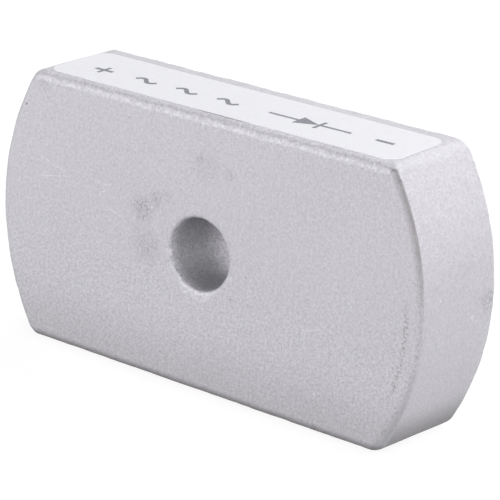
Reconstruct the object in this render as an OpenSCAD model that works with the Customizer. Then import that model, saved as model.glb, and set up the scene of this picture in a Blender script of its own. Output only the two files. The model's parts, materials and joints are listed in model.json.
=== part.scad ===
// Three-phase bridge rectifier module in a cast aluminium case.
// The case stands on one long flat side, with the label on the upper one.
// X runs along the case, Z points up, and Y runs from the mounting face (Y = 0) to the terminals.
// The origin is the centre of the bolt hole on the mounting face.

/* [Cast case] */
// Height of the case over its two flat sides, at the open rim
case_h = 36; // [34:0.5:46]
// Length of the case over its two rounded ends, at the open rim
case_l = 67.5; // [66:0.5:84]
// Radius of each rounded end, at the open rim
end_r = 32.5; // [31:0.5:36]
// Depth of the case from the mounting face to the open rim
case_t = 14; // [13:0.5:20]
// Radius of the four corners between the ends and the flat sides, at the open rim
corner_r = 2.9; // [2.5:0.1:4]
// Rounding around the edge of the mounting face
edge_r = 1.25; // [0.5:0.05:1.6]
// Draft of the cast walls and the boss, in degrees
draft = 1.6; // [0.5:0.1:3]
// Thickness of the cast wall
wall = 2; // [1.5:0.1:2.4]
// Thickness of the cast floor behind the mounting face
floor_t = 3; // [2:0.1:4]
// Rounding inside the case, between the floor and the wall
floor_r = 0.8; // [0.4:0.1:1.2]

/* [Bolt hole] */
// Diameter of the bolt hole through the case
bore_d = 9.2; // [8.4:0.1:10.5]
// Rounding of the hole's edge on the mounting face
lip_r = 0.45; // [0.2:0.05:0.6]
// Chamfer of the hole's edge on the washer seat
seat_chamfer = 0.3; // [0.1:0.1:0.6]
// Thickness of the boss around the hole, at the open rim
boss_wall = 2.9; // [2:0.1:3.5]

/* [Label] */
// Length of the label film
label_l = 54; // [40:0.5:54]
// Width of the label film
label_w = 10.7; // [6:0.1:11]
// Thickness of the label film
label_t = 0.1; // [0.05:0.05:0.2]
// Corner radius of the label film
label_r = 1.8; // [0.5:0.1:3]
// Distance from the open rim to the label
label_back = 2; // [1:0.1:2.5]

/* [Terminals] */
// Width of a push-on tab
tab_w = 6.3; // [4.8:0.1:6.3]
// Thickness of a push-on tab
tab_t = 0.8; // [0.5:0.1:1]
// How far the tabs stand out of the open rim
tab_out = 8; // [7:0.5:10]
// Inside radius of the bends in the folded tabs
bend_r = 0.4; // [0.3:0.1:0.6]
// Corner cut at the tip of a tab
tip_cut = 1.2; // [0.6:0.1:1.6]
// Length of the thinned end of a tab
tip_taper = 0.9; // [0.5:0.1:1.2]
// Metal taken off each side at the thinned end of a tab
tip_thin = 0.2; // [0.1:0.05:0.3]
// Diameter of the locking hole in a tab
lock_d = 1.7; // [1.4:0.1:2]
// Distance from a tab's tip to its locking hole
lock_from_tip = 4; // [3.2:0.1:4.7]
// Length of the soldered foot of a tab
foot_l = 4; // [3:0.1:4.2]
// How far a tab stands inward of the middle of its bus
tab_inset = 1.2; // [0.8:0.1:1.4]
// Width of the hidden part of the negative terminal
bridge_w = 5; // [4:0.1:5.5]
// Space between the phase straps and the crossing part of the negative terminal
bridge_gap = 1.8; // [1:0.1:2.5]
// Least space between a phase strap and a terminal that stands beside it
foot_clear = 0.8; // [0.5:0.1:0.8]

/* [Circuit] */
// Thickness of the heat-conducting bond under an insulator
bond_t = 0.15; // [0.1:0.05:0.3]
// Thickness of a ceramic insulator strip
insulator_t = 0.65; // [0.4:0.05:1]
// Space between an insulator strip and the cast metal beside it
strip_gap = 0.3; // [0.2:0.1:0.5]
// Space between the outer corners of a ceramic strip and the rounded ends of the case
strip_end = 1.9; // [1.7:0.1:2.2]
// Bare border of ceramic around a bus
creepage = 0.7; // [0.5:0.1:0.9]
// Thickness of a bus
bus_t = 0.8; // [0.5:0.1:1]
// How far a bus runs on past its outer dies
bus_end = 0.8; // [0.4:0.1:1]
// Side of a square diode die
die_a = 4.6; // [3.5:0.1:4.8]
// Thickness of a diode die
die_t = 0.3; // [0.2:0.05:0.4]
// Bare border of a die around its solder
die_edge = 0.2; // [0.1:0.05:0.4]
// Thickness of a solder layer
solder_t = 0.12; // [0.08:0.02:0.2]
// Width of an outer phase strap
strap_w = 5; // [4.8:0.1:5.4]
// Thickness of a phase strap
strap_t = 0.8; // [0.5:0.1:1]
// How far a strap runs on past the edge of its die
strap_end = 0.2; // [0:0.1:0.4]
// Width of the legs of the middle strap, beside the boss
leg_w = 2.6; // [2:0.1:3]
// Space between the boss and the middle strap
strap_clear = 1; // [0.6:0.1:1.2]
// Corner cut of the middle strap
strap_cut = 1.5; // [0.5:0.1:2]

/* [Potting] */
// How far the potting stays below the open rim
pot_drop = 0.8; // [0.4:0.1:1.5]
// Shrinkage gap between the potting and the cast walls
pot_gap = 0.1; // [0.1:0.05:0.2]
// Extra rounding of the potting's edge on the floor
pot_extra_r = 0.3; // [0.2:0.1:0.5]

/* [Hidden] */
$fn = 96;

// How far a cut reaches past the metal it goes through.
over = 1;
// How much a corner section is drawn in, so that its round faces end in a clean step.
corner_step = 0.02;

// Centres of the end radii, either side of the middle.
end_x = case_l / 2 - end_r;
// Bolt hole and boss.
bore_r = bore_d / 2;
boss_r = bore_r + boss_wall;

// How far a drafted wall has drawn in at a depth behind the mounting face.
function drawn_in(y) = tan(draft) * (case_t - y);

// Levels of the stack, counted from the mounting face.
bond_y = floor_t;
insulator_y = bond_y + bond_t;
bus_y = insulator_y + insulator_t;
bus_top = bus_y + bus_t;
die_y = bus_top + solder_t;
die_top = die_y + die_t;
strap_y = die_top + solder_t;
strap_top = strap_y + strap_t;
pot_y = case_t - pot_drop;
tab_top = case_t + tab_out;
bridge_y = strap_top + bridge_gap + tab_t / 2;

// The strips lie between the boss and the flat walls, clear of the rounding at the floor.
boss_foot_r = boss_r + drawn_in(floor_t);
strip_in = boss_foot_r + strip_gap;
strip_out = case_h / 2 - wall - drawn_in(floor_t) - floor_r - strip_gap;
insulator_w = strip_out - strip_in;
row_z = (strip_out + strip_in) / 2;
bus_w = insulator_w - 2 * creepage;
pad_a = die_a - 2 * die_edge;

// The strips run along the case towards its rounded ends, and the phase columns spread on them.
end_in = end_r - wall - drawn_in(floor_t);
insulator_l = 2 * (end_x + sqrt(pow(end_in, 2) - pow(strip_out, 2)) - strip_end);
bus_l = insulator_l - 2 * creepage;
phase_pitch = bus_l / 2 - bus_end - die_a / 2;

// Straps, and the tabs between them.
strap_l = 2 * row_z + die_a + 2 * strap_end;
window_a = boss_foot_r + strap_clear;
middle_w = 2 * (window_a + leg_w);
strap_space = phase_pitch - strap_w / 2 - middle_w / 2;
pole_x = (middle_w + strap_space) / 2;
foot_w = min(tab_w, strap_space - 2 * foot_clear);
crossing_w = min(bridge_w, foot_w);
tab_z = row_z - tab_inset;
foot_z = tab_z - tab_t / 2 + foot_l;

// Stands what is drawn lying on its mounting face up onto its flat side.
module stand() {
  rotate([90, 0, 0])
    mirror([0, 0, 1])
      children();
}

// Stands a drawing of depth against height up, with the given width along X.
module across(width) {
  rotate([90, 0, 90])
    linear_extrude(height = width, center = true)
      children();
}

// A flat rectangle of the stack, by its middle, size, level and thickness.
module plate(x, z, w, h, y, t) {
  translate([x - w / 2, z - h / 2, y])
    cube([w, h, t]);
}

// Half of a drafted section, from its middle out to the wall, with a rounded lower edge.
module drafted_half(size, y0, y1, r) {
  tangent_y = y0 + r * (1 - sin(draft));
  tangent_x = size - drawn_in(tangent_y);
  round_x = tangent_x - r * cos(draft);
  difference() {
    polygon([
      [0, y0], [size - drawn_in(y0), y0],
      [size - drawn_in(y1), y1], [0, y1]
    ]);
    difference() {
      polygon([
        [round_x, y0 + r], [round_x, y0 - over], [size + over, y0 - over],
        [size + over, tangent_y], [tangent_x, tangent_y]
      ]);
      translate([round_x, y0 + r])
        circle(r);
    }
  }
}

// The outside of the case: a flat middle, two rounded ends and four rounded corners.
// They meet on shared planes, the corners a hair lower than the walls beside them.
module outer_form() {
  flat_half = case_h / 2;
  corner_z = flat_half - corner_r;
  corner_x = end_x + sqrt(pow(end_r - corner_r, 2) - pow(corner_z, 2));
  turn = atan2(corner_z, corner_x - end_x);
  across(2 * corner_x) {
    drafted_half(flat_half, 0, case_t, edge_r);
    mirror([1, 0]) drafted_half(flat_half, 0, case_t, edge_r);
  }
  for (side = [0, 1]) {
    mirror([side, 0, 0]) {
      translate([end_x, 0, 0])
        rotate([0, 0, -turn])
          rotate_extrude(angle = 2 * turn)
            drafted_half(end_r, 0, case_t, edge_r);
      for (up = [0, 1]) {
        mirror([0, up, 0])
          translate([corner_x, corner_z, 0])
            rotate([0, 0, turn])
              rotate_extrude(angle = 90 - turn)
                drafted_half(corner_r - corner_step, 0, case_t, edge_r);
      }
    }
  }
}

// The inside of the cup, moved in from the outside by a wall, for the cavity and the potting.
// Each half is where a flat-sided bar and a round end overlap.
module inner_form(inset, y0, y1, r) {
  for (side = [0, 1])
    mirror([side, 0, 0])
      intersection() {
        translate([case_l / 4 + over, 0, 0])
          across(case_l / 2 + 2 * over) {
            drafted_half(case_h / 2 - inset, y0, y1, r);
            mirror([1, 0]) drafted_half(case_h / 2 - inset, y0, y1, r);
          }
        translate([end_x, 0, 0])
          rotate([0, 0, 180])
            rotate_extrude()
              drafted_half(end_r - inset, y0, y1, r);
      }
}

// The boss, wider by a clearance, from below the floor to past the rim.
module boss_form(clear) {
  translate([0, 0, floor_t - over])
    cylinder(
      h = case_t - floor_t + 2 * over,
      r1 = boss_r + drawn_in(floor_t - over) + clear,
      r2 = boss_r + drawn_in(case_t + over) + clear
    );
}

// What is cut for the bolt: the hole, its rounded lip and the chamfer at the washer seat.
module bolt_cut() {
  rotate_extrude()
    difference() {
      polygon([
        [0, -over], [bore_r + lip_r, -over], [bore_r + lip_r, lip_r], [bore_r, lip_r],
        [bore_r, case_t - seat_chamfer], [bore_r + seat_chamfer + over, case_t + over],
        [0, case_t + over]
      ]);
      translate([bore_r + lip_r, lip_r])
        circle(lip_r);
    }
}

// The cast case: one piece with its floor, wall and boss.
module case() {
  color("silver")
    stand()
      difference() {
        difference() {
          outer_form();
          difference() {
            inner_form(wall, floor_t, case_t + over, floor_r);
            boss_form(0);
          }
        }
        bolt_cut();
      }
}

// The label film, flat on the drafted upper side.
module label() {
  color("white")
    translate([0, case_t, case_h / 2])
      rotate([draft, 0, 0])
        translate([0, -label_back - label_w / 2, 0])
          linear_extrude(height = label_t) {
            square([label_l - 2 * label_r, label_w], center = true);
            square([label_l, label_w - 2 * label_r], center = true);
            for (sx = [-1, 1])
              for (sy = [-1, 1])
                translate([sx * (label_l / 2 - label_r), sy * (label_w / 2 - label_r)])
                  circle(label_r);
          }
}

// The heat-conducting bond under one insulator strip.
module bond(row) {
  color("lightgrey")
    stand()
      plate(0, row * row_z, insulator_l, insulator_w, bond_y, bond_t);
}

// One ceramic insulator strip.
module insulator(row) {
  color("ivory")
    stand()
      plate(0, row * row_z, insulator_l, insulator_w, insulator_y, insulator_t);
}

// One copper bus on its insulator strip.
module bus(row) {
  color("peru")
    stand()
      plate(0, row * row_z, bus_l, bus_w, bus_y, bus_t);
}

// Dies 1, 2 and 3 stand on the positive bus, and 4, 5 and 6 on the negative one.
function die_x(i) = ((i - 1) % 3 - 1) * phase_pitch;
function die_z(i) = i <= 3 ? row_z : -row_z;

module diode_die(i) {
  color("dimgrey")
    stand()
      plate(die_x(i), die_z(i), die_a, die_a, die_y, die_t);
}

module lower_solder(i) {
  color("gainsboro")
    stand()
      plate(die_x(i), die_z(i), pad_a, pad_a, bus_top, solder_t);
}

module upper_solder(i) {
  color("gainsboro")
    stand()
      plate(die_x(i), die_z(i), pad_a, pad_a, die_top, solder_t);
}

// A flat bar for an outer phase, and a stamped frame around the boss for the middle one.
module strap_form(phase) {
  if (phase == 2) {
    difference() {
      translate([0, 0, strap_y])
        linear_extrude(height = strap_t)
          polygon([
            [middle_w / 2, strap_l / 2 - strap_cut],
            [middle_w / 2 - strap_cut, strap_l / 2],
            [strap_cut - middle_w / 2, strap_l / 2],
            [-middle_w / 2, strap_l / 2 - strap_cut],
            [-middle_w / 2, strap_cut - strap_l / 2],
            [strap_cut - middle_w / 2, -strap_l / 2],
            [middle_w / 2 - strap_cut, -strap_l / 2],
            [middle_w / 2, strap_cut - strap_l / 2]
          ]);
      plate(0, 0, 2 * window_a, 2 * window_a, strap_y - over, strap_t + 2 * over);
    }
  } else {
    plate((phase - 2) * phase_pitch, 0, strap_w, strap_l, strap_y, strap_t);
  }
}

module phase_strap(phase) {
  color("chocolate")
    stand()
      strap_form(phase);
}

// Lengths and directions along a path of square turns.
function step(a, b) = (b - a) / norm(b - a);

// The section of a folded strip along the middle line of its thickness.
// Straight runs stop short of each turn, and a quarter ring fills it.
module folded(path) {
  middle_r = bend_r + tab_t / 2;
  last = len(path) - 1;
  for (i = [0 : last - 1]) {
    d = step(path[i], path[i + 1]);
    a = path[i] + (i == 0 ? 0 : middle_r) * d;
    b = path[i + 1] - (i == last - 1 ? 0 : middle_r) * d;
    run(a, b, 0);
  }
  for (i = [1 : last - 1]) {
    d1 = step(path[i - 1], path[i]);
    d2 = step(path[i], path[i + 1]);
    centre = path[i] - middle_r * d1 + middle_r * d2;
    reach = bend_r + tab_t;
    intersection() {
      difference() {
        translate(centre) circle(reach);
        translate(centre) circle(bend_r);
      }
      corner_square(centre, centre + reach * d1 - reach * d2);
    }
  }
}

// The pocket that the potting leaves around a folded strip: square outside each turn,
// and cut across inside it, so that it clears the strip's round faces.
module folded_pocket(path) {
  last = len(path) - 1;
  for (i = [0 : last - 1]) {
    d = step(path[i], path[i + 1]);
    a = path[i] - (i == 0 ? 0 : tab_t / 2) * d;
    b = path[i + 1] + (i == last - 1 ? 0 : tab_t / 2) * d;
    run(a, b, 0);
  }
  for (i = [1 : last - 1]) {
    d1 = step(path[i - 1], path[i]);
    d2 = step(path[i], path[i + 1]);
    inner = path[i] - tab_t / 2 * d1 + tab_t / 2 * d2;
    polygon([inner, inner - bend_r * d1, inner + bend_r * d2]);
  }
}

// A straight run of strip between two points, along either direction of the drawing.
module run(a, b, extra) {
  d = step(a, b);
  side = [abs(d[1]), abs(d[0])] * (tab_t / 2 + extra);
  corner_square(
    [min(a[0], b[0]), min(a[1], b[1])] - side,
    [max(a[0], b[0]), max(a[1], b[1])] + side
  );
}

// The rectangle between two opposite corners.
module corner_square(p, q) {
  translate([min(p[0], q[0]), min(p[1], q[1])])
    square([abs(q[0] - p[0]), abs(q[1] - p[1])]);
}

// Middle lines of the folded tabs, as height against depth.
function tab_path(row, foot_y) = [
  [row * foot_z, foot_y], [row * tab_z, foot_y], [row * tab_z, tab_top]
];
bus_foot_y = bus_top + solder_t + tab_t / 2;
strap_foot_y = strap_top + solder_t + tab_t / 2;
// The negative terminal rises from its bus and crosses over to the label's side.
crossing = [
  [-foot_z, bus_foot_y], [-tab_z, bus_foot_y], [-tab_z, bridge_y],
  [tab_z, bridge_y], [tab_z, pot_y - over]
];

// What is cut from a tab: the corners and both faces at its tip, and its locking hole.
module tab_cut(x, z) {
  for (side = [0, 1]) {
    translate([x, 0, 0])
      mirror([side, 0, 0])
        translate([tab_w / 2, z + tab_t, tab_top])
          rotate([90, 0, 0])
            linear_extrude(height = 2 * tab_t)
              polygon([[over, over], [-tip_cut - over, over], [over, -tip_cut - over]]);
    translate([x, z, tab_top])
      mirror([0, side, 0])
        across(tab_w + 2 * over)
          polygon([
            [tab_t / 2, -tip_taper],
            [tab_t / 2 + over, -tip_taper],
            [tab_t / 2 + over, over],
            [tab_t / 2 - tip_thin, over],
            [tab_t / 2 - tip_thin, 0]
          ]);
  }
  translate([x, z + tab_t, tab_top - lock_from_tip])
    rotate([90, 0, 0])
      cylinder(h = 2 * tab_t, r = lock_d / 2);
}

// A folded tab soldered on a phase strap.
module phase_tab(phase) {
  x = (phase - 2) * phase_pitch;
  color("lightsteelblue")
    stand()
      difference() {
        translate([x, 0, 0])
          across(tab_w)
            folded(tab_path(-1, strap_foot_y));
        tab_cut(x, -tab_z);
      }
}

module phase_tab_solder(phase) {
  x = (phase - 2) * phase_pitch;
  color("gainsboro")
    stand()
      foot_solder(x, -1, phase == 2 ? tab_w : min(tab_w, strap_w), strap_top);
}

// A folded terminal beside the straps. Where it is narrower than a tab below the potting's
// surface, a full tab starts there.
module beside_form(path, width) {
  across(width)
    folded(path);
  if (width < tab_w)
    across(tab_w)
      run([tab_z, pot_y - 2 * over], [tab_z, tab_top], 0);
}

// The pocket that the potting leaves around it.
module beside_pocket(path, width) {
  across(width)
    folded_pocket(path);
  if (width < tab_w)
    across(tab_w)
      run([tab_z, pot_y - 2 * over], [tab_z, tab_top], 0);
}

// The folded tab soldered on the positive bus.
module positive_tab() {
  color("lightsteelblue")
    stand()
      difference() {
        translate([-pole_x, 0, 0])
          beside_form(tab_path(1, bus_foot_y), foot_w);
        tab_cut(-pole_x, tab_z);
      }
}

module positive_tab_solder() {
  color("gainsboro")
    stand()
      foot_solder(-pole_x, 1, foot_w, bus_top);
}

// The negative terminal: a narrower folded strip up to the potting's surface, and a full tab above.
module negative_terminal() {
  color("lightsteelblue")
    stand()
      difference() {
        translate([pole_x, 0, 0])
          beside_form(crossing, crossing_w);
        tab_cut(pole_x, tab_z);
      }
}

module negative_terminal_solder() {
  color("gainsboro")
    stand()
      foot_solder(pole_x, -1, crossing_w, bus_top);
}

// The solder under a tab's foot, clear of the bend.
module foot_solder(x, row, width, level) {
  near = tab_z + tab_t / 2 + bend_r;
  plate(x, row * (near + foot_z) / 2, width, foot_z - near, level, solder_t);
}

// The potting resin: it fills the case around every inner piece.
module potting() {
  color("black")
    stand()
      difference() {
        inner_form(wall + pot_gap, floor_t, pot_y, floor_r + pot_extra_r);
        boss_form(pot_gap);
        buried();
      }
}

// The inner pieces as the potting sees them.
module buried() {
  for (row = [-1, 1]) {
    plate(0, row * row_z, insulator_l, insulator_w, bond_y - over, bond_t + insulator_t + over);
    plate(0, row * row_z, bus_l, bus_w, insulator_y, insulator_t + bus_t);
  }
  for (i = [1 : 6]) {
    plate(die_x(i), die_z(i), pad_a, pad_a, bus_y, strap_y - bus_y);
    plate(die_x(i), die_z(i), die_a, die_a, die_y, die_t);
  }
  for (phase = [1 : 3]) {
    strap_form(phase);
    translate([(phase - 2) * phase_pitch, 0, 0])
      across(tab_w)
        folded_pocket(tab_path(-1, strap_foot_y));
    foot_solder(
      (phase - 2) * phase_pitch, -1, phase == 2 ? tab_w : min(tab_w, strap_w), strap_top
    );
  }
  translate([-pole_x, 0, 0])
    beside_pocket(tab_path(1, bus_foot_y), foot_w);
  foot_solder(-pole_x, 1, foot_w, bus_top);
  translate([pole_x, 0, 0])
    beside_pocket(crossing, crossing_w);
  foot_solder(pole_x, -1, crossing_w, bus_top);
}

case();
label();
potting();
bond(1);  // bond_positive
bond(-1);  // bond_negative
insulator(1);  // insulator_positive
insulator(-1);  // insulator_negative
bus(1);  // positive_bus
bus(-1);  // negative_bus
for (i = [1 : 6]) {
  diode_die(i);
  lower_solder(i);
  upper_solder(i);
}
for (phase = [1 : 3]) {
  phase_strap(phase);
  phase_tab(phase);
  phase_tab_solder(phase);
}
positive_tab();
positive_tab_solder();
negative_terminal();
negative_terminal_solder();
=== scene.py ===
import json
import math

import bmesh
import bpy
import numpy as np
from mathutils import Matrix, Vector, noise


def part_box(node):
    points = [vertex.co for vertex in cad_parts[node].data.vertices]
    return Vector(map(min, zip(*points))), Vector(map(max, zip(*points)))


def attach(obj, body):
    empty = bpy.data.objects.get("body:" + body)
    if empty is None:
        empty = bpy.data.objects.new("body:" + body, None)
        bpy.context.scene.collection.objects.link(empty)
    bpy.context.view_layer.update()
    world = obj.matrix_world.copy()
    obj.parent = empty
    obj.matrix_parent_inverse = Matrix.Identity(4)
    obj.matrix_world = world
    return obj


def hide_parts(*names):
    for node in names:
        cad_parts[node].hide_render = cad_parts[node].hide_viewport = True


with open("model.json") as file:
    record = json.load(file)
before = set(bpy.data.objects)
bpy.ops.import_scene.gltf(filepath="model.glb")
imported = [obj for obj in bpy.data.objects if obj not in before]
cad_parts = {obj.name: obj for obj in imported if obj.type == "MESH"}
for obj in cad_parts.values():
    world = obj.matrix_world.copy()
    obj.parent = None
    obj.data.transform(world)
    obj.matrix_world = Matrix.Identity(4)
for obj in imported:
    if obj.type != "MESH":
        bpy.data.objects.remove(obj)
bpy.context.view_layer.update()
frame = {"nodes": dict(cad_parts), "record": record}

MM = 0.001  # in metres
CASE_LO, CASE_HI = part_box("case")
LABEL_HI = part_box("label")[1]
POT_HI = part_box("potting")[1]

# sizes in millimetres, as in the CAD
DRAFT = math.radians(1.6)
HALF_H = CASE_HI.z / MM
HALF_L = CASE_HI.x / MM
CASE_T = CASE_HI.y / MM
END_R = 32.5
END_X = HALF_L - END_R
CORNER_R = 2.9
EDGE_R = 1.25
WALL = 2.0
FLOOR_T = 3.0
FLOOR_R = 0.8
BORE_R = 4.6
LIP_R = 0.45
SEAT_CHAMFER = 0.3
BOSS_R = 7.5
POT_Y = POT_HI.y / MM
TAB_T = 0.8

# where the edges of the cast skin differ from that
SHARP_R = 0.55  # the rounding along the upper part of the +X end
LOW_EDGE_R = 0.9  # and along the lower flat side
FACE_MARGIN = 0.3  # the strip of the mounting face beside its rounding
# corner radius of each quarter at the rim and at the mounting face
CORNER_RADII = (
    (CORNER_R, CORNER_R - 0.9),
    (CORNER_R, CORNER_R - 0.5),
    (CORNER_R, CORNER_R - 0.5),
    (CORNER_R, CORNER_R - 0.5),
)


# ---------- node helpers ----------
class Nodes:
    """Builds one material's node tree with short calls."""

    def __init__(self, name):
        self.mat = bpy.data.materials.new(name)
        self.mat.use_nodes = True
        self.tree = self.mat.node_tree
        self.tree.nodes.clear()
        self.out = self.add("ShaderNodeOutputMaterial")
        self.bsdf = self.add("ShaderNodeBsdfPrincipled")
        self.link(self.bsdf, 0, self.out, "Surface")
        coords = self.add("ShaderNodeTexCoord")
        scale = self.add("ShaderNodeVectorMath", operation="SCALE")
        scale.inputs["Scale"].default_value = 1 / MM
        self.link(coords, "Object", scale, 0)
        self.mm = (scale, 0)  # object coordinates in millimetres

    def add(self, kind, **settings):
        node = self.tree.nodes.new(kind)
        for key, value in settings.items():
            setattr(node, key, value)
        return node

    def link(self, source, output, target, socket):
        self.tree.links.new(source.outputs[output], target.inputs[socket])

    def put(self, node, socket, value):
        """A number or colour, or the (node, output) that drives the socket."""
        if isinstance(value, tuple) and len(value) == 2 and hasattr(value[0], "outputs"):
            self.link(value[0], value[1], node, socket)
        elif value is not None:
            node.inputs[socket].default_value = value

    def surface(self, colour, rough, relief, metallic=0.0):
        self.put(self.bsdf, "Base Color", colour)
        self.put(self.bsdf, "Metallic", metallic)
        self.put(self.bsdf, "Roughness", rough)
        self.put(self.bsdf, "Normal", relief)
        return self.mat

    def math(self, operation, a, b=None, c=None):
        node = self.add("ShaderNodeMath", operation=operation)
        for i, value in enumerate((a, b, c)):
            self.put(node, i, value)
        return (node, 0)

    def noise(self, scale, detail=2.0, roughness=0.5, vector=None):
        node = self.add("ShaderNodeTexNoise")
        self.put(node, "Vector", vector or self.mm)
        self.put(node, "Scale", scale)
        self.put(node, "Detail", detail)
        self.put(node, "Roughness", roughness)
        return (node, "Fac")

    def cells(self, scale):
        node = self.add("ShaderNodeTexVoronoi")
        self.put(node, "Vector", self.mm)
        self.put(node, "Scale", scale)
        return (node, "Distance")

    def ramp(self, value, low, high, to_low=0.0, to_high=1.0):
        node = self.add("ShaderNodeMapRange", interpolation_type="SMOOTHSTEP")
        for socket, item in enumerate((value, low, high, to_low, to_high)):
            self.put(node, socket, item)
        return (node, 0)

    def mix(self, factor, a, b):
        node = self.add("ShaderNodeMix", data_type="RGBA")
        self.put(node, 0, factor)
        self.put(node, 6, a)
        self.put(node, 7, b)
        return (node, 2)

    def shade(self, colour, level):
        """A colour made lighter or darker by a level round 1."""
        node = self.add("ShaderNodeVectorMath", operation="SCALE")
        node.inputs[0].default_value = colour
        self.put(node, "Scale", level)
        return (node, 0)

    def bump(self, height, distance_mm, strength=1.0, normal=None):
        node = self.add("ShaderNodeBump")
        self.put(node, "Strength", strength)
        self.put(node, "Distance", distance_mm * MM)
        self.put(node, "Height", height)
        self.put(node, "Normal", normal)
        return (node, 0)

    def split(self, vector):
        node = self.add("ShaderNodeSeparateXYZ")
        self.put(node, 0, vector)
        return [(node, i) for i in range(3)]

    def stretched(self, factors):
        """The coordinates, multiplied along each axis."""
        node = self.add("ShaderNodeVectorMath", operation="MULTIPLY")
        self.put(node, 0, self.mm)
        self.put(node, 1, factors)
        return (node, 0)


def total(n, *values):
    result = values[0]
    for value in values[1:]:
        result = n.math("ADD", result, value)
    return result


def times(n, *values):
    result = values[0]
    for value in values[1:]:
        result = n.math("MULTIPLY", result, value)
    return result


def strongest(n, masks):
    result = masks[0]
    for mask in masks[1:]:
        result = n.math("MAXIMUM", result, mask)
    return result


def distance(n, a, b):
    return n.math("SQRT", n.math("ADD", times(n, a, a), times(n, b, b)))


def band(n, value, low, high, soft):
    """1 between low and high, fading over soft on both sides."""
    return times(n, n.ramp(value, low - soft, low), n.ramp(value, high + soft, high))


def spot(n, axes, centre, radius, ragged=0.35, grain=1.2):
    """1 inside a ragged round spot on the plane of two axes, 0 outside."""
    across = n.math("SUBTRACT", axes[0], centre[0])
    up = n.math("SUBTRACT", axes[1], centre[1])
    edge = n.math("MULTIPLY_ADD", n.noise(grain, 3.0), ragged * radius * 2, -ragged * radius)
    return n.ramp(n.math("ADD", distance(n, across, up), edge), radius, radius * 0.2)


def streak(n, axes, start, end, width):
    """1 along a broken line between two points on the plane of two axes."""
    length = math.hypot(end[0] - start[0], end[1] - start[1])
    ux, uz = (end[0] - start[0]) / length, (end[1] - start[1]) / length
    dx = n.math("SUBTRACT", axes[0], start[0])
    dz = n.math("SUBTRACT", axes[1], start[1])
    along = n.math("ADD", times(n, dx, ux), times(n, dz, uz))
    across = n.math("ABSOLUTE", n.math("ADD", times(n, dx, -uz), times(n, dz, ux)))
    line = n.ramp(across, width, width * 0.25)
    ends = times(n, n.ramp(along, -0.3, 0.3), n.ramp(along, length + 0.3, length - 0.3))
    broken = n.ramp(n.noise(2.0, 2.0), 0.38, 0.53)
    return times(n, line, ends, broken)


# ---------- the cast metal ----------
# Stippled smudges on the mounting face: x, z, radius and depth
SMUDGES = (
    (-9.4, 3.7, 2.4, 0.95),
    (-7.2, 5.4, 1.6, 0.80),
    (-5.4, 6.2, 1.2, 0.40),
    (-8.4, -1.0, 3.2, 0.64),
    (-8.1, -1.2, 0.7, 0.70),
    (-9.6, 1.0, 1.6, 0.35),
    (-0.4, 12.1, 1.1, 0.60),
    (0.6, 11.4, 3.0, 0.32),
    (4.2, 11.0, 1.4, 0.42),
    (-26.2, 16.2, 1.5, 0.45),
)
# Small brown specks on it: x, z, radius and depth
SPECKS = (
    (-29.2, 12.9, 0.24, 0.75),
    (-12.0, 14.8, 0.20, 0.35),
    (5.2, -4.4, 0.28, 0.40),
    (4.2, -3.3, 0.24, 0.30),
    (7.5, -1.0, 0.26, 0.25),
    (18.9, -16.9, 0.40, 0.30),
)
# Fine bright scratches on it: from x, z to x, z, and half the width
SCRATCHES = (
    (-27.3, 5.9, -26.1, 6.6, 0.108),
    (-26.1, 6.6, -25.0, 6.1, 0.108),
    (-25.0, 6.1, -22.4, 5.5, 0.108),
    (-26.4, 4.1, -21.8, 5.0, 0.090),
    (-16.9, 5.3, -14.6, 5.5, 0.108),
    (-17.1, 3.4, -15.0, 5.0, 0.099),
    (-15.2, 2.6, -12.4, 1.7, 0.099),
    (15.4, -5.3, 17.5, -5.1, 0.099),
    (17.5, -5.1, 19.6, -4.2, 0.099),
)
# Painted glints on it, small bright dots of highlight: x, z and radius
GLINT_SPOTS = (
    (-22.2, 9.0, 0.14),
    (-16.4, -2.4, 0.18),
    (-7.8, 4.3, 0.18),
    (18.6, -12.8, 0.20),
)
# Bright nicks on the +X end: y, z and radius
END_NICKS = (
    (3.5, 1.9, 0.22),
    (10.0, -1.6, 0.35),
    (10.9, -2.4, 0.3),
    (9.1, -0.9, 0.25),
)
SCRATCH_DEPTH = 0.45
GLINT_DEPTH = 0.7
END_NICK_DEPTH = 0.5
LIP_DEPTH = 0.38

METAL = (0.575, 0.563, 0.602)
# bare metal, and painted glints
BRIGHT_METAL_AND_GLINT = (0.86, 0.85, 0.87, 1)
SMUDGE_GREY = (0.16, 0.155, 0.165, 1)
SPECK_BROWN = (0.15, 0.10, 0.085, 1)
# painted shade, partly dirt, along the rounded upper +X end edge
CREASE_SHADE_AND_DIRT = (0.17, 0.15, 0.155, 1)
WORN_DIRT = (0.13, 0.115, 0.10, 1)
END_DIRT = (0.14, 0.13, 0.135, 1)
# painted shade low on the casting
LOW_SHADE = (0.15, 0.14, 0.145, 1)
# a dark ragged line along the upper front edge, and the painted shadow under the label's edge
TOP_LINE_AND_SHADOW = (0.13, 0.12, 0.12, 1)
# painted shade in the bore
BORE_SHADE = (0.13, 0.13, 0.14, 1)


class CastPlaces:
    """Where a shaded point lies on the casting."""

    def __init__(self, n):
        self.x, self.y, self.z = n.split(n.mm)
        self.plan = (self.x, self.z)
        self.end_plan = (self.y, self.z)
        self.front = n.ramp(self.y, 0.35, 0.1)  # 1 on the mounting face
        self.right = n.ramp(self.x, 18.0, 20.0)  # 1 at the +X end
        self.bore = distance(n, self.x, self.z)  # from the axis of the bore
        self.in_bore = n.ramp(self.bore, BORE_R + 0.25, BORE_R + 0.05)
        self.to_axis = distance(n, n.math("SUBTRACT", self.x, END_X), self.z)  # of the round end
        self.stipple = n.ramp(n.noise(3.0, 3.0, 0.65), 0.47, 0.62)


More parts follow.
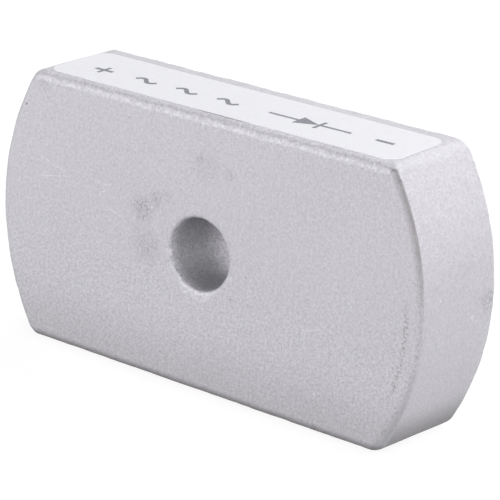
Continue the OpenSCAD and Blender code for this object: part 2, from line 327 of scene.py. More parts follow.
def tumbled_tone_and_end_light(n, at):
    """Large clouds, and a mottle, two grains and dark dots, which are stronger low on the mounting
    face, in the bore and along the scuffed upper edge, and weaker on the sides. Painted light: the
    +X end grows lighter downwards, as if lit from the floor below."""
    lower = times(n, n.ramp(at.z, 4.0, -8.0), at.front)
    scuffed = times(n, n.ramp(at.z, 15.5, 16.5), n.ramp(at.y, 1.7, 1.2))
    strength = total(
        n, 1.0, times(n, lower, 0.45), n.ramp(at.y, 0.6, 1.2, 0.0, -0.2),
        times(n, scuffed, 0.4), times(n, at.in_bore, 1.2),
    )
    clouds = n.ramp(n.noise(0.07, 3.0), 0.3, 0.7, -0.012, 0.012)
    mottle = n.ramp(n.noise(0.8, 4.0, 0.6), 0.3, 0.7, -0.02, 0.02)
    grain = n.ramp(n.noise(2.6, 3.0, 0.6), 0.3, 0.7, -0.09, 0.08)
    fine = n.ramp(n.noise(6.0, 2.0, 0.6), 0.3, 0.7, -0.09, 0.08)
    dots = n.ramp(n.noise(3.4, 1.0, 0.5), 0.65, 0.74, 0.0, -0.2)
    # painted light: the +X end lighter low down and a little darker at the top, as if lit from the floor
    end_bounce_light = times(n, at.right, n.ramp(at.y, 0.6, 1.2), n.ramp(at.z, 6.0, -8.0, -0.02, 0.10))
    uneven = times(n, total(n, mottle, grain, fine, dots), strength)
    return n.shade(METAL, total(n, clouds, uneven, end_bounce_light, 1.0))


def face_marks(n, at, colour):
    """Stippled smudges and brown specks on the mounting face."""
    smudge = strongest(n, [
        times(n, spot(n, at.plan, (x, z), radius), depth) for x, z, radius, depth in SMUDGES
    ])
    smudge = times(n, smudge, at.front, n.math("MULTIPLY_ADD", at.stipple, 0.55, 0.10))
    colour = n.mix(smudge, colour, SMUDGE_GREY)
    speck = strongest(n, [
        times(n, spot(n, at.plan, (x, z), radius, 0.3, 4.0), depth) for x, z, radius, depth in SPECKS
    ])
    return n.mix(times(n, speck, at.front), colour, SPECK_BROWN)


def end_shade_and_marks(n, at, colour):
    """Painted shade, partly dirt, in a dark band along the rounded upper part of the +X end's front
    edge, the worn line beside its lower part, and the grime by its rim."""
    # painted shade, partly dirt: the dark band along the rounded upper +X end edge
    depth = n.math("MULTIPLY_ADD", n.noise(0.9, 3.0), 0.24, n.math("SUBTRACT", at.y, 0.12))
    crease_shade = times(
        n, at.right, n.ramp(depth, 0.50, 0.32), n.ramp(at.to_axis, END_R - 1.4, END_R - 0.8),
        n.ramp(at.z, -4.0, 11.0), n.ramp(n.noise(0.9, 3.0), 0.25, 0.6, 0.8, 1.0),
        n.ramp(at.y, 0.0, 0.15, 0.34, 0.68),
    )
    colour = n.mix(crease_shade, colour, CREASE_SHADE_AND_DIRT)
    wobble = n.math("MULTIPLY_ADD", n.noise(0.6, 2.0), 0.6, -0.3)
    worn_line = times(
        n, at.right, at.front, band(n, n.math("ADD", at.to_axis, wobble), 29.9, 30.25, 0.25),
        band(n, at.z, -8.0, -1.0, 4.0), n.ramp(n.noise(2.4, 3.0, 0.6), 0.46, 0.60), 0.48,
    )
    colour = n.mix(worn_line, colour, WORN_DIRT)
    grime = times(n, spot(n, at.end_plan, (12.9, -0.2), 2.0), at.right, at.stipple, 0.5)
    return n.mix(grime, colour, END_DIRT)


def painted_shade_and_top_line(n, at, colour):
    """Painted shade low on the casting and in the bore, a painted shadow by the label, and a dark ragged
    line along the upper front edge.
    """
    # painted shade: darker along the lower front edge, low on the mounting face and low on the +X end
    low_edge_shade = times(n, n.ramp(at.z, -15.8, -17.7), n.ramp(at.y, 2.2, 1.0), 0.85)
    low_face_shade = times(n, n.ramp(at.z, -8.0, -17.6), n.ramp(at.y, 1.5, 0.6), 0.22)
    low_end_shade = times(n, n.ramp(at.z, -11.5, -17.8), n.ramp(at.y, 0.6, 1.5), 0.72)
    colour = n.mix(strongest(n, [low_edge_shade, low_face_shade, low_end_shade]), colour, LOW_SHADE)
    # a dark ragged line along the upper front edge
    wavy = n.math("MULTIPLY_ADD", n.noise(0.9, 3.0), 0.5, at.y)
    top_line = times(
        n, n.ramp(at.z, 15.0, 16.0), band(n, wavy, 0.6, 0.7, 0.12),
        n.ramp(n.noise(1.6, 3.0), 0.3, 0.6, 0.3, 1.0), 0.16,
    )
    # painted shadow under the front edge of the label
    label_edge_shadow = times(
        n, n.ramp(at.z, 16.5, 17.0), band(n, at.y, 1.12, 1.3, 0.1), band(n, at.x, -1.5, 4.5, 1.5), 0.6
    )
    colour = n.mix(n.math("MAXIMUM", top_line, label_edge_shadow), colour, TOP_LINE_AND_SHADOW)
    # painted shade in the mouth of the bore, strongest a little way in, gone deep inside
    in_bore = times(n, at.in_bore, n.ramp(at.y, 0.2, 2.0, 0.08, 0.50), n.ramp(at.y, 6.0, 10.0, 1.0, 0.0))
    return n.mix(in_bore, colour, BORE_SHADE)


def bright_marks_and_glints(n, at, colour):
    """Scratches, nicks and the rough lip under the bore, where bare metal shows, and painted glints on
    the mounting face.
    """
    bright = [
        times(n, at.front, streak(n, at.plan, (x0, z0), (x1, z1), half), SCRATCH_DEPTH)
        for x0, z0, x1, z1, half in SCRATCHES
    ]
    # painted glints: small bright dots of highlight on the mounting face
    bright += [
        times(n, at.front, spot(n, at.plan, (x, z), radius, 0.4, 5.0), GLINT_DEPTH)
        for x, z, radius in GLINT_SPOTS
    ]
    bright += [
        times(n, at.right, spot(n, at.end_plan, (y, z), radius, 0.4, 4.0), END_NICK_DEPTH)
        for y, z, radius in END_NICKS
    ]
    bright.append(times(
        n, band(n, at.bore, BORE_R + 0.25, BORE_R + 1.1, 0.35), n.ramp(at.z, -3.0, -4.2),
        band(n, at.x, -2.4, 1.8, 1.0), n.ramp(n.noise(2.0, 3.0, 0.65), 0.42, 0.62),
        n.ramp(at.y, 1.2, 0.8), LIP_DEPTH,
    ))
    return n.mix(strongest(n, bright), colour, BRIGHT_METAL_AND_GLINT)


def cast_metal():
    n = Nodes("cast_aluminium")
    at = CastPlaces(n)
    colour = tumbled_tone_and_end_light(n, at)
    for marks in (face_marks, end_shade_and_marks, painted_shade_and_top_line, bright_marks_and_glints):
        colour = marks(n, at, colour)
    rough = n.ramp(n.noise(2.1, 3.0), 0.3, 0.7, 0.52, 0.68)
    rough = n.math("MULTIPLY_ADD", at.in_bore, -0.05, rough)
    peened = n.bump(n.noise(1.3, 3.0, 0.6), 0.04, 0.4)
    pitted = n.bump(n.noise(4.2, 2.0, 0.55), 0.02, 0.4, peened)
    return n.surface(colour, rough, pitted, 0.2)


# ---------- the other materials ----------
def label_film():
    n = Nodes("label_film")
    fibre = n.ramp(n.noise(1.3, 3.0), 0.3, 0.7, -0.012, 0.012)
    colour = n.shade((0.842, 0.842, 0.884), n.math("ADD", fibre, 1.0))
    rough = n.ramp(n.noise(0.8, 2.0), 0.3, 0.7, 0.42, 0.55)
    return n.surface(colour, rough, n.bump(n.noise(0.35, 2.0), 0.05, 0.4))


def label_ink():
    n = Nodes("label_ink")
    worn = n.ramp(n.noise(5.0, 3.0, 0.6), 0.35, 0.7)
    colour = n.mix(worn, (0.17, 0.17, 0.2, 1), (0.27, 0.27, 0.31, 1))
    return n.surface(colour, n.ramp(worn, 0.0, 1.0, 0.55, 0.7), n.bump(n.noise(8.0, 2.0), 0.01, 0.5))


def potting_compound():
    n = Nodes("potting_compound")
    haze = n.ramp(n.noise(0.25, 3.0), 0.35, 0.7)
    specks = n.ramp(n.cells(1.6), 0.06, 0.02)
    colour = n.mix(haze, (0.018, 0.018, 0.02, 1), (0.032, 0.031, 0.033, 1))
    colour = n.mix(times(n, specks, 0.5), colour, (0.09, 0.09, 0.09, 1))
    rough = n.ramp(n.noise(0.5, 3.0), 0.3, 0.7, 0.28, 0.46)
    waves = n.bump(n.noise(0.12, 2.0), 0.6, 0.5)
    return n.surface(colour, rough, n.bump(n.noise(2.2, 2.0), 0.03, 0.5, waves))


def tinned_copper():
    n = Nodes("tinned_copper")
    rolled = n.noise(2.0, 3.0, 0.6, n.stretched((4.0, 0.35, 4.0)))
    stain = n.ramp(n.noise(0.8, 3.0), 0.45, 0.75)
    colour = n.mix(n.ramp(rolled, 0.3, 0.7), (0.36, 0.36, 0.352, 1), (0.45, 0.45, 0.44, 1))
    colour = n.mix(times(n, stain, 0.3), colour, (0.28, 0.275, 0.265, 1))
    return n.surface(colour, n.ramp(rolled, 0.3, 0.7, 0.24, 0.4), n.bump(rolled, 0.01, 0.2), 1.0)


def copper():
    n = Nodes("copper")
    rolled = n.noise(2.0, 3.0, 0.6, n.stretched((0.4, 4.0, 4.0)))
    colour = n.mix(rolled, (0.72, 0.33, 0.20, 1), (0.83, 0.45, 0.30, 1))
    return n.surface(colour, n.ramp(rolled, 0.3, 0.7, 0.28, 0.42), n.bump(rolled, 0.01, 0.6), 1.0)


def grainy(name, size, colours, rough, relief, metallic=0.0):
    """One grain in the colour, the gloss and the relief."""
    n = Nodes(name)
    grain = n.noise(*size)
    colour = n.mix(grain, *colours)
    return n.surface(colour, n.ramp(grain, 0.3, 0.7, *rough), n.bump(grain, *relief), metallic)


def alumina():
    colours = (0.74, 0.72, 0.66, 1), (0.84, 0.83, 0.79, 1)
    return grainy("alumina", (6.0, 3.0), colours, (0.55, 0.7), (0.01, 0.5))


def silicon():
    colours = (0.12, 0.13, 0.15, 1), (0.17, 0.18, 0.21, 1)
    return grainy("silicon", (9.0, 2.0), colours, (0.2, 0.32), (0.004, 0.5), 0.6)


def solder():
    colours = (0.50, 0.50, 0.51, 1), (0.66, 0.66, 0.67, 1)
    return grainy("solder", (4.0, 3.0, 0.6), colours, (0.3, 0.5), (0.02, 0.6), 1.0)


def heat_bond():
    colours = (0.62, 0.62, 0.60, 1), (0.74, 0.74, 0.72, 1)
    return grainy("heat_bond", (5.0, 3.0, 0.6), colours, (0.6, 0.75), (0.02, 0.6))


MATERIALS = {
    "cast_aluminium": cast_metal(),
    "label_film": label_film(),
    "potting_compound": potting_compound(),
    "tinned_copper": tinned_copper(),
    "copper": copper(),
    "alumina": alumina(),
    "silicon": silicon(),
    "solder": solder(),
    "heat_bond": heat_bond(),
}
INK = label_ink()

for part in frame["record"]["subparts"]:
    for holder in frame["nodes"][part["node"]].material_slots:
        holder.material = MATERIALS[part["material_slot"]]


# ---------- the casting, with its uneven edges ----------
QUARTER_STEPS = (96, 16, 58)  # along the flat, round the corner and down the end
EDGE_WAVE = 0.12  # how much the rounding of the front edge varies
BORE_RINGS = 18
LIP_RINGS = 5
FACE_RINGS = 43
MARGIN_RINGS = 3
EDGE_RINGS = 12
WALL_RINGS = 37
WALL_END = 0.15  # the wall ends that far below the rim
RIM_PROFILE = (  # depth below the rim, and how far in from the outline
    (0.05, 0.04),
    (0, 0.15),
    (0, 0.7),
    (0, 1.3),
    (0, WALL - 0.12),
    (0.04, WALL - 0.03),
)
INSIDE_DEPTHS = (CASE_T - 0.12, CASE_T - 0.5, CASE_T - 0.9, CASE_T - 2, 7, FLOOR_T + FLOOR_R)
BOSS_DEPTHS = (9, CASE_T - 0.9, CASE_T - 0.5, CASE_T - 0.1)
SEAT_RADII = (BOSS_R - 0.1, BOSS_R - 0.9, BOSS_R - 1.7, BORE_R + SEAT_CHAMFER)
SWELL = 0.03
RAGGED = 0.022
RIM_WAVE = 0.07
LIP_ROUGH = 0.06


def smooth(x, low, high):
    t = np.clip((np.asarray(x, float) - low) / (high - low), 0, 1)
    return t * t * (3 - 2 * t)


def steps(end, count):
    """Evenly spaced values up to end, without the 0 that they start from."""
    return np.linspace(0, end, count + 1)[1:]


def drawn_in(y):
    """How far the draft has drawn the outside in at depth y."""
    return math.tan(DRAFT) * (CASE_T - y)


def quarter(radius):
    """A quarter of the rim outline, from the middle of the upper side to the middle of the +X end,
    with the corner at radius. Gives points, outward normals and the place along it: 0 to 1 on the
    flat, 1 to 2 round the corner and 2 to 3 down the end."""
    corner_z = HALF_H - radius
    corner_x = END_X + math.sqrt((END_R - radius) ** 2 - corner_z ** 2)
    turn = math.atan2(corner_z, corner_x - END_X)
    on_flat, on_corner, on_end = QUARTER_STEPS
    rows = []
    for i in range(on_flat):
        t = i / on_flat
        rows.append((corner_x * t, HALF_H, 0, 1, t))
    for i in range(on_corner):
        t = i / on_corner
        a = math.pi / 2 + (turn - math.pi / 2) * t
        cos, sin = math.cos(a), math.sin(a)
        rows.append((corner_x + radius * cos, corner_z + radius * sin, cos, sin, 1 + t))
    for i in range(on_end + 1):
        t = i / on_end
        a = turn * (1 - t)
        cos, sin = math.cos(a), math.sin(a)
        rows.append((END_X + END_R * cos, END_R * sin, cos, sin, 2 + t))
    return np.array(rows)


def outline(front_share):
    """The closed rim outline, with its corners as sharp as they are at that share of the way
    to the mounting face. Columns: x, z, normal x, normal z, place along the quarter, quarter."""
    parts = []
    for q, (sx, sz) in enumerate(((1, 1), (1, -1), (-1, -1), (-1, 1))):
        at_rim, at_face = CORNER_RADII[q]
        radius = at_rim + (at_face - at_rim) * front_share
        rows = quarter(radius) * (sx, sz, sx, sz, 1)
        rows = np.column_stack([rows, np.full(len(rows), q)])
        parts.append(rows[:-1] if sx * sz > 0 else rows[::-1][:-1])
    return np.concatenate(parts)


AT_FACE = outline(1.0)
AT_RIM = outline(0.0)


def circle_for(rows):
    """A unit circle with a point in the direction of each point of an outline."""
    angle = np.arctan2(rows[:, 1], rows[:, 0])
    return np.column_stack([np.cos(angle), np.sin(angle)])


def ring(plan, y):
    """Points at depth y, or at a depth each, from their x and z."""
    return np.column_stack([plan[:, 0], np.broadcast_to(y, (len(plan),)), plan[:, 1]])


def outside(y, inset):
    """The plan of the casting's outside at depth y, further in by inset."""
    y = np.broadcast_to(y, (len(AT_FACE),))[:, None]
    share = smooth(1 - y / CASE_T, 0, 1)
    rows = AT_FACE * share + AT_RIM * (1 - share)
    return rows[:, :2] - rows[:, 2:4] * (drawn_in(y) + np.reshape(inset, (-1, 1)))


def inside(y, inset=0.0):
    """The plan of the wall's inside at depth y, further in by inset."""
    return AT_RIM[:, :2] - AT_RIM[:, 2:4] * (WALL + drawn_in(y) + inset)


def boss(circle, y, outset=0.0):
    """The plan of the boss at depth y, further out by outset."""
    return circle * (BOSS_R + drawn_in(y) + outset)


def edge_radii(rows):
    """Rounding of the front edge along the outline."""
    place, q, z = rows[:, 4], rows[:, 5], rows[:, 1]
    right = (q == 0) | (q == 1)
    on_end = smooth(place, 1.3, 1.9)
    upper = smooth(z, -14.0, -5.0)
    radii = EDGE_R - (EDGE_R - SHARP_R) * right * on_end * upper
    bottom = ((q == 1) | (q == 2)) * (1 - smooth(place, 0.9, 1.6))
    radii -= (EDGE_R - LOW_EDGE_R) * bottom
    wave = np.array([noise.noise(Vector((x * 0.35, z * 0.35, 3.0))) for x, z in rows[:, :2]])
    return radii * (1 + EDGE_WAVE * wave)


def bore_rings(circle):
    for y in np.linspace(CASE_T - SEAT_CHAMFER, LIP_R, BORE_RINGS):
        yield "bore", ring(circle * BORE_R, y)
    for a in steps(math.pi / 2, LIP_RINGS):
        radius = BORE_R + LIP_R * (1 - math.cos(a))
        yield "lip", ring(circle * radius, LIP_R * (1 - math.sin(a)))


def face_rings(circle, edge_start):
    """The mounting face, from the lip out to its rounded edge."""
    lip = circle * (BORE_R + LIP_R)
    margin = outside(0.0, EDGE_R + FACE_MARGIN)
    for t in steps(1, FACE_RINGS):
        yield "face", ring(lip * (1 - t) + margin * t, 0.0)
    for t in steps(1, MARGIN_RINGS):
        yield "margin", ring(margin * (1 - t) + edge_start * t, 0.0)


def edge_rings(edge_start, radii):
    for a in steps(math.pi / 2 - DRAFT, EDGE_RINGS):
        way_out = AT_FACE[:, 2:4] * (radii * math.sin(a))[:, None]
        yield "edge", ring(edge_start + way_out, radii * (1 - math.cos(a)))


def wall_rings(wall_start):
    """The drafted outside and the rim."""
    for t in steps(1, WALL_RINGS):
        y = wall_start + (CASE_T - WALL_END - wall_start) * t
        yield "wall", ring(outside(y, 0.0), y)
    for depth, inset in RIM_PROFILE:
        y = CASE_T - depth
        yield "rim", ring(outside(y, inset), y)


def cavity_rings(circle):
    """The inside of the wall, the floor, the boss and its seat."""
    for y in INSIDE_DEPTHS:
        yield "inside", ring(inside(y), y)
    yield "inside", ring(inside(FLOOR_T, FLOOR_R), FLOOR_T)
    yield "inside", ring(boss(circle, FLOOR_T), FLOOR_T)
    for y in BOSS_DEPTHS:
        yield "boss", ring(boss(circle, y), y)
    for radius in SEAT_RADII:
        yield "seat", ring(circle * radius, CASE_T)


def casting():
    """The rings of the casting, from the bore over the outside to the seat, and the kind of each."""
    circle = circle_for(AT_FACE)
    radii = edge_radii(AT_FACE)
    wall_start = radii * (1 - math.sin(DRAFT))
    edge_start = outside(wall_start, radii * math.cos(DRAFT))
    rings = [
        *bore_rings(circle),
        *face_rings(circle, edge_start),
        *edge_rings(edge_start, radii),
        *wall_rings(wall_start),
        *cavity_rings(circle),
    ]
    return np.array([points for _, points in rings]), [kind for kind, _ in rings]


def fractal(p, scale, seed):
    return noise.fractal(Vector(p) * scale + Vector((seed, seed * 1.7, -seed)), 1.0, 2.1, 3)


def unevenness(p, kind):
    """How far a point on the outside of the casting stands out."""
    if kind == "lip":
        return LIP_ROUGH * fractal(p, 1.1, 4.0)
    swell = SWELL * fractal(p, 0.12, 5.0) * smooth(p[1], 1.0, 4.0)
    ragged = RAGGED * fractal(p, 0.8, 9.0) * smooth(p[1], 0.0, 0.15)
    ragged *= 1 - 0.7 * smooth(p[1], 1.5, 3.0)
    height = swell + ragged
    if kind in ("wall", "rim"):
        height += RIM_WAVE * fractal(p, 0.45, 2.0) * smooth(p[1], 11.5, 13.6)
    return height


def roughen(points, kinds):
    """Moves the outside of the casting in and out as cast and tumbled metal is uneven."""
    down = np.roll(points, -1, axis=0) - np.roll(points, 1, axis=0)
    along = np.roll(points, -1, axis=1) - np.roll(points, 1, axis=1)
    normal = np.cross(along, down)
    length = np.linalg.norm(normal, axis=2, keepdims=True)
    normal /= np.maximum(length, 1e-9)
    moved = points.copy()
    for i, kind in enumerate(kinds):
        if kind in ("margin", "edge", "wall", "rim", "lip"):
            for j in range(points.shape[1]):
                moved[i, j] += normal[i, j] * unevenness(points[i, j], kind)
    return moved


def grid_piece(name, points, slot):
    """A closed piece from rings of points, each joined to the next and the last to the first."""
    rows, columns = points.shape[:2]
    index = np.arange(rows * columns).reshape(rows, columns)
    below = np.roll(index, -1, axis=0)
    beside = np.roll(index, -1, axis=1)
    both = np.roll(below, -1, axis=1)
    quads = np.stack([index, beside, both, below], axis=-1).reshape(-1, 4)
    mesh = bpy.data.meshes.new(name)
    mesh.from_pydata((points.reshape(-1, 3) * MM).tolist(), [], quads.tolist())
    mesh.polygons.foreach_set("use_smooth", [True] * len(quads))
    mesh.materials.append(MATERIALS[slot])
    mesh.update()
    obj = bpy.data.objects.new(name, mesh)
    bpy.context.scene.collection.objects.link(obj)
    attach(obj, "root")
    return obj


cast_case = grid_piece("cast_case", roughen(*casting()), "cast_aluminium")
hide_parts("case")


# ---------- the potting's surface, which creeps up what stands in it ----------
CREEP_REACH = 0.9
CREEP_H = 0.5
POT_LIFT = 0.05  # mean height of the skin over the potting solid
POT_SINK = 0.05  # how far the skin reaches down into that solid
WALL_OVERLAP = 0.03  # and into the wall and the boss
SKIN_WAVE = 0.035
CREEP_RINGS = 9
SKIN_STEPS = 25
TAB_CREEP = 0.8  # the resin climbs a tab less high, to this share
TAB_OVERLAP = 0.1  # how far the resin reaches into the tab
TAB_CORNER = 0.15
TAB_CREEP_RINGS = 8
TAB_CORNER_STEPS = 8


def creep(away):
    """Height of the resin at a distance from the wall, boss or tab that it wets."""
    return CREEP_H * np.clip(1 - np.asarray(away, float) / CREEP_REACH, 0, 1) ** 2.4


def creep_distances(count):
    """Distances over which the resin runs out, closest together near what it wets."""
    return CREEP_REACH * np.linspace(0, 1, count) ** 1.5


def skin_plans():
    """The plan of each ring of the potting's skin, from the boss to the wall, and its height."""
    circle = circle_for(AT_RIM)
    rows = []
    for d in creep_distances(CREEP_RINGS):
        height = creep(d)
        rows.append((boss(circle, POT_Y + height, d - WALL_OVERLAP * (d == 0)), height))
    near = rows[-1][0]
    far = inside(POT_Y, CREEP_REACH)
    for t in steps(1, SKIN_STEPS)[:-1]:
        rows.append((near * (1 - t) + far * t, 0.0))
    for d in creep_distances(CREEP_RINGS)[::-1]:
        height = creep(d)
        rows.append((inside(POT_Y + height, d - WALL_OVERLAP * (d == 0)), height))
    return rows


def potting_skin():
    """A closed skin from the boss to the wall, hollow at both, with the slow waves of cast resin."""
    rows = skin_plans()
    rings = []
    for plan, height in rows:
        wave = np.array([noise.fractal(Vector((x * 0.09, 1.0, z * 0.09)), 1.0, 2.1, 3) for x, z in plan])
        rings.append(ring(plan, POT_Y + POT_LIFT + height + SKIN_WAVE * wave))
    for plan, _ in (rows[-1], rows[0]):
        rings.append(ring(plan, POT_Y - POT_SINK))
    return np.array(rings)[::-1]


def rounded_section(centre, half, radius):
    """The plan of a rectangle, grown by radius, with round corners."""
    plan = []
    for k, corner in enumerate(((1, 1), (-1, 1), (-1, -1), (1, -1))):
        for step in range(TAB_CORNER_STEPS + 1):
            a = math.pi / 2 * (k + step / TAB_CORNER_STEPS)
            plan.append(centre + half * corner + radius * np.array((math.cos(a), math.sin(a))))
    return np.array(plan)


def tab_fillet(node):
    """The resin drawn up round a tab: a closed ring about the tab's section."""
    lo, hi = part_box(node)
    low_z = lo.z / MM if node == "positive_tab" else hi.z / MM - TAB_T
    centre = np.array(((lo.x + hi.x) / 2 / MM, low_z + TAB_T / 2))
    half = np.array(((hi.x - lo.x) / 2 / MM, TAB_T / 2)) - TAB_CORNER
    profile = [(d, POT_LIFT + TAB_CREEP * creep(d)) for d in creep_distances(TAB_CREEP_RINGS)]
    profile[0] = (-TAB_OVERLAP, profile[0][1])
    profile += [(CREEP_REACH, -POT_SINK), (-TAB_OVERLAP, -POT_SINK)]
    return np.array([
        ring(rounded_section(centre, half, TAB_CORNER + d), POT_Y + height) for d, height in profile
    ])


grid_piece("potting_skin", potting_skin(), "potting_compound")
for tab in ("phase_tab_1", "phase_tab_2", "phase_tab_3", "positive_tab", "negative_terminal"):
    grid_piece(f"resin_round_{tab}", tab_fillet(tab), "potting_compound")


# ---------- marks printed on the label ----------
INK_T = 0.015 * MM
STROKE = 0.46 * MM
PRINT_TURN = math.radians(1.0)
PRINT_BACK = 6.0 * MM  # from the label's back edge to the middle of the print


def on_label(u, v, h):
    """A point on the label: u along X, v towards the front from the middle of the print, and h
    above the film."""
    u, v = (
        u * math.cos(PRINT_TURN) + v * math.sin(PRINT_TURN),
        v * math.cos(PRINT_TURN) - u * math.sin(PRINT_TURN),
    )
    s = PRINT_BACK + v
    return Vector((
        u,
        LABEL_HI.y - s * math.cos(DRAFT) - h * math.sin(DRAFT),
        LABEL_HI.z - s * math.sin(DRAFT) + h * math.cos(DRAFT),
    ))


def stroke_sides(points, widths):
    """Pairs of points at both sides of a line, as far apart as the stroke is wide."""
    points = [Vector(p) * MM for p in points]
    pairs = []
    for i, p in enumerate(points):
        width = widths[0] + (widths[1] - widths[0]) * i / (len(points) - 1)
        before = points[max(i - 1, 0)]
        after = points[min(i + 1, len(points) - 1)]
        side = (after - before).normalized().orthogonal() * width / 2
        pairs.append((p + side, p - side))
    return pairs


def add_stroke(bm, points, widths):
    """A thin closed bar along the points, lying on the label."""
    rings = []
    for a, b in stroke_sides(points, widths):
        rings.append([
            bm.verts.new(on_label(a.x, a.y, 0)),
            bm.verts.new(on_label(a.x, a.y, INK_T)),
            bm.verts.new(on_label(b.x, b.y, INK_T)),
            bm.verts.new(on_label(b.x, b.y, 0)),
        ])
    for one, two in zip(rings, rings[1:]):
        for i in range(4):
            j = (i + 1) % 4
            bm.faces.new((one[i], one[j], two[j], two[i]))
    bm.faces.new(rings[0][::-1])
    bm.faces.new(rings[-1])


def ink_piece(name, strokes):
    """One printed mark from strokes: (u, v) points in millimetres, and the width at each end."""
    bm = bmesh.new()
    for points, widths in strokes:
        add_stroke(bm, points, widths)
    bmesh.ops.recalc_face_normals(bm, faces=bm.faces)
    mesh = bpy.data.meshes.new(name)
    bm.to_mesh(mesh)
    bm.free()
    obj = bpy.data.objects.new(name, mesh)
    bpy.context.scene.collection.objects.link(obj)
    mesh.materials.append(INK)
    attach(obj, "root")
    return obj


EVEN = (STROKE, STROKE)
BROAD = (1.3 * STROKE, 1.3 * STROKE)  # strokes along the label, which look thinner
HALF = STROKE / MM / 2
WAVE_LENGTH = 3.4
WAVE_H = 0.62
WAVE_STEPS = 24
ink_piece("mark_plus", [
    ([(-22.7, 0.0), (-19.9, 0.0)], BROAD),
    ([(-21.3, -1.25), (-21.3, -1.3 * HALF)], EVEN),
    ([(-21.3, 1.3 * HALF), (-21.3, 1.25)], EVEN),
])
ink_piece("mark_minus", [([(20.8, 0.0), (23.4, 0.0)], BROAD)])
for number, middle in enumerate((-14.4, -7.9, -1.4), 1):
    wave = [
        (middle + WAVE_LENGTH * (t / WAVE_STEPS - 0.5), -WAVE_H * math.sin(2 * math.pi * t / WAVE_STEPS))
        for t in range(WAVE_STEPS + 1)
    ]
    ink_piece(f"mark_wave_{number}", [(wave, BROAD)])
ink_piece("mark_diode", [
    ([(5.0, 0.0), (9.4, 0.0)], EVEN),
    ([(9.4, 0.0), (12.4, 0.0)], (2.7 * MM, 0.05 * MM)),
    ([(12.6, -1.35), (12.6, 1.35)], EVEN),
    ([(12.6 + HALF, 0.0), (17.2, 0.0)], EVEN),
])


# ---------- floor, light and camera ----------
FLOOR_HALF = 6  # in metres, as are the two lamp sizes
FLOOR_LIT = 0.2
FLOOR_GLOW = 0.88
WORLD_TINT = (0.98, 0.985, 1.0, 1)
WORLD_LIGHT = 0.1
LAMP_DISTANCE = 0.6
LAMP_SIZE = 0.4
# Square lamps round the case: name, azimuth, elevation and power
LAMPS = (
    ("left_front", -35, 13, 2.66),
    ("right_back", 135, 50, 1.4),
    ("right", 64, 12, 2.45),
    ("back", 190, 50, 1.4),
    ("back_low", 150, 6, 1.15),
)
CAM_AZ = 38.666
CAM_EL = 18.555
CAM_ROLL = math.radians(2.694)
CAM_DIST = 333.312 * MM
CAM_RIGHT = 1.795 * MM
CAM_UP = -0.83 * MM
CAM_LENS = 194.882688
CENTRE = (Vector(CASE_LO) + Vector(CASE_HI)) / 2


def ray_kind(tree, *kinds):
    """1 on rays of one of the kinds, 0 on others."""
    path = tree.nodes.new("ShaderNodeLightPath")
    result = path.outputs[kinds[0]]
    for kind in kinds[1:]:
        either = tree.nodes.new("ShaderNodeMath")
        either.operation = "MAXIMUM"
        tree.links.new(result, either.inputs[0])
        tree.links.new(path.outputs[kind], either.inputs[1])
        result = either.outputs[0]
    return result


def backdrop_material(name, lit, glow):
    """Diffuse for the light's sake; to the camera and in reflections it also glows towards white."""
    mat = bpy.data.materials.new(name)
    mat.use_nodes = True
    tree = mat.node_tree
    tree.nodes.clear()
    out = tree.nodes.new("ShaderNodeOutputMaterial")
    both = tree.nodes.new("ShaderNodeAddShader")
    diffuse = tree.nodes.new("ShaderNodeBsdfDiffuse")
    emit = tree.nodes.new("ShaderNodeEmission")
    scale = tree.nodes.new("ShaderNodeMath")
    scale.operation = "MULTIPLY"
    diffuse.inputs[0].default_value = (lit, lit, lit, 1)
    scale.inputs[1].default_value = glow
    tree.links.new(ray_kind(tree, "Is Camera Ray", "Is Glossy Ray"), scale.inputs[0])
    tree.links.new(scale.outputs[0], emit.inputs["Strength"])
    tree.links.new(diffuse.outputs[0], both.inputs[0])
    tree.links.new(emit.outputs[0], both.inputs[1])
    tree.links.new(both.outputs[0], out.inputs[0])
    return mat


def floor_plane():
    z = CASE_LO.z
    corners = [(-1, -1), (1, -1), (1, 1), (-1, 1)]
    mesh = bpy.data.meshes.new("floor")
    mesh.from_pydata([(FLOOR_HALF * x, FLOOR_HALF * y, z) for x, y in corners], [], [(0, 1, 2, 3)])
    mesh.materials.append(backdrop_material("floor", FLOOR_LIT, FLOOR_GLOW))
    floor = bpy.data.objects.new("floor", mesh)
    bpy.context.scene.collection.objects.link(floor)


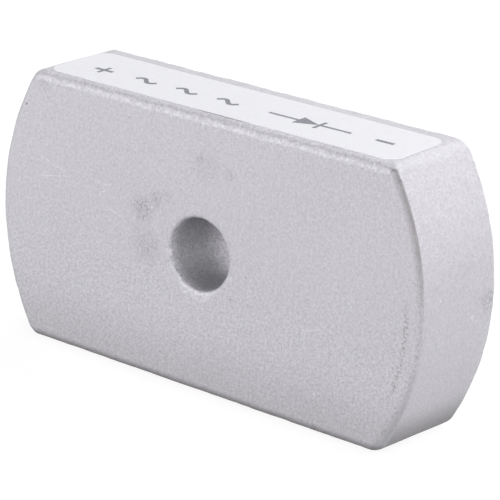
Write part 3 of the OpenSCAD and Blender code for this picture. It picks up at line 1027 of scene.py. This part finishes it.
def studio_world():
    """Faint light all round; white to the camera and in reflections."""
    world = bpy.data.worlds.new("studio")
    bpy.context.scene.world = world
    world.use_nodes = True
    tree = world.node_tree
    tree.nodes.clear()
    out = tree.nodes.new("ShaderNodeOutputWorld")
    mix = tree.nodes.new("ShaderNodeMixShader")
    light = tree.nodes.new("ShaderNodeBackground")
    white = tree.nodes.new("ShaderNodeBackground")
    light.inputs[0].default_value = WORLD_TINT
    light.inputs[1].default_value = WORLD_LIGHT
    white.inputs[0].default_value = (1, 1, 1, 1)
    white.inputs[1].default_value = 1.0
    seen = ray_kind(tree, "Is Camera Ray", "Is Glossy Ray", "Is Transmission Ray")
    tree.links.new(seen, mix.inputs[0])
    tree.links.new(light.outputs[0], mix.inputs[1])
    tree.links.new(white.outputs[0], mix.inputs[2])
    tree.links.new(mix.outputs[0], out.inputs[0])


def towards(azimuth, elevation):
    a = math.radians(azimuth)
    e = math.radians(elevation)
    return Vector((math.sin(a) * math.cos(e), -math.cos(a) * math.cos(e), math.sin(e)))


def softbox(name, azimuth, elevation, power):
    data = bpy.data.lights.new(name, "AREA")
    data.shape = "SQUARE"
    data.size = LAMP_SIZE
    data.energy = power
    obj = bpy.data.objects.new(name, data)
    bpy.context.scene.collection.objects.link(obj)
    way = towards(azimuth, elevation).normalized()
    obj.location = CENTRE + way * LAMP_DISTANCE
    obj.rotation_mode = "QUATERNION"
    obj.rotation_quaternion = way.to_track_quat("Z", "Y")


def main_camera():
    """The camera at its fitted place, turned a little about its line of sight."""
    back = towards(CAM_AZ, CAM_EL)
    right = Vector((math.cos(math.radians(CAM_AZ)), math.sin(math.radians(CAM_AZ)), 0))
    up = back.cross(right)
    data = bpy.data.cameras.new("camera")
    cam = bpy.data.objects.new("camera", data)
    bpy.context.scene.collection.objects.link(cam)
    bpy.context.scene.camera = cam
    data.sensor_width = 36
    data.lens = CAM_LENS
    data.clip_start = 0.01
    data.clip_end = 20
    turned_right = right * math.cos(CAM_ROLL) + up * math.sin(CAM_ROLL)
    turned_up = up * math.cos(CAM_ROLL) - right * math.sin(CAM_ROLL)
    aim = Vector((0, CENTRE.y, 0)) + right * CAM_RIGHT + up * CAM_UP
    cam.rotation_mode = "QUATERNION"
    cam.rotation_quaternion = Matrix((turned_right, turned_up, back)).transposed().to_quaternion()
    cam.location = aim + back * CAM_DIST


floor_plane()
studio_world()
for lamp in LAMPS:
    softbox(*lamp)
main_camera()

bpy.context.scene.view_settings.view_transform = "Standard"
